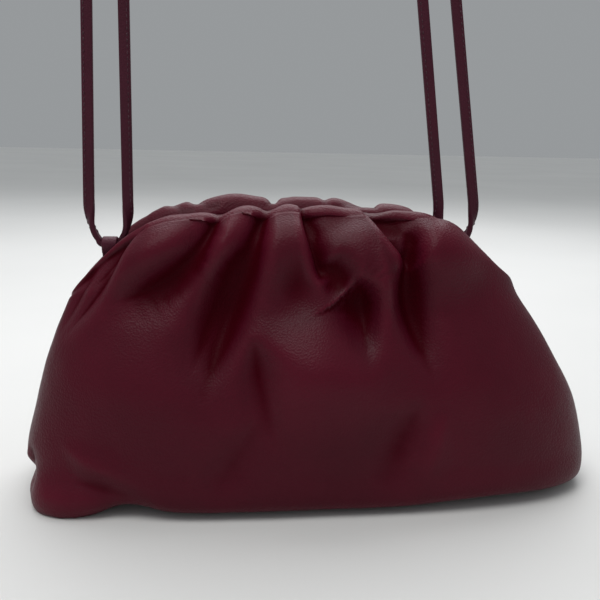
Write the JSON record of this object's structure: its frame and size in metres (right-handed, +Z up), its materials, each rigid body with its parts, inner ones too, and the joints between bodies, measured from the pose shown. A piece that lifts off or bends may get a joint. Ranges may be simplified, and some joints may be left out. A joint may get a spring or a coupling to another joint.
{
  "type": "gathered leather pouch bag",
  "caption": "Soft gathered leather pouch bag with a slim framed mouth, two small tab loops and a thin doubled shoulder strap held up above it.",
  "frame": {"origin": "underside of the strap's inner bend at its top, where a hand or hook holds it", "axes": "+Z up, +X along the pouch to the right as seen from its front, -Y out of its front"},
  "size_m": [0.224, 0.078, 0.676],
  "materials": {
    "pouch_leather": "soft burgundy leather with a fine grain and a low sheen",
    "strap_leather": "flat burgundy leather strip with a stitched, painted edge",
    "frame_metal": "plain satin metal"
  },
  "bodies": {
    "root": {"pouch_body": "pouch_leather", "mouth_frame": "frame_metal", "loop_left": "strap_leather", "loop_right": "strap_leather", "shoulder_strap": "strap_leather"}
  },
  "joints": []
}
